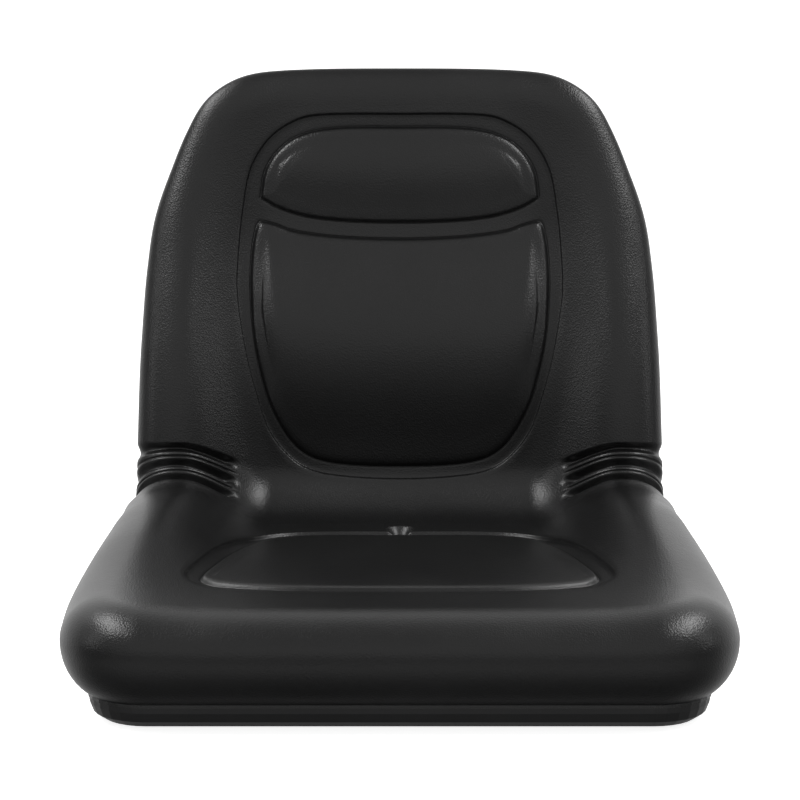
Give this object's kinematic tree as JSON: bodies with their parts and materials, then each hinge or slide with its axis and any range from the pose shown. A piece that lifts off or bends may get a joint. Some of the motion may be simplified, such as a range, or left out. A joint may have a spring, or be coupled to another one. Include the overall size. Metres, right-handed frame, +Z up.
{
  "type": "utility vehicle seat",
  "caption": "High-back black vinyl seat moulded on one pressed pan, with raised seat and back panels, side pleats at the bend, and threaded mounts under the seat.",
  "frame": {"origin": "centre of the main four-bolt pattern, on the plane of the pan's underside", "axes": "+X across the seat to its right as seen from the front, +Y from the front edge to the back, +Z up"},
  "size_m": [0.5282, 0.5272, 0.4552],
  "materials": {
    "vinyl": "black vinyl skin with a fine leather grain, satin",
    "pan_paint": "black powder coat on pressed steel, fine texture",
    "trim_plastic": "black extruded plastic, satin",
    "tube_plastic": "black plastic tube, matt",
    "plated_steel": "zinc plated"
  },
  "bodies": {
    "root": {"cushion": "vinyl", "seat_pan": "pan_paint", "edge_trim": "trim_plastic", "drain_tube": "tube_plastic", "nut_front_left": "plated_steel", "nut_front_right": "plated_steel", "nut_rear_left": "plated_steel", "nut_rear_right": "plated_steel", "nut_outer_left": "plated_steel", "nut_outer_right": "plated_steel"}
  },
  "joints": []
}
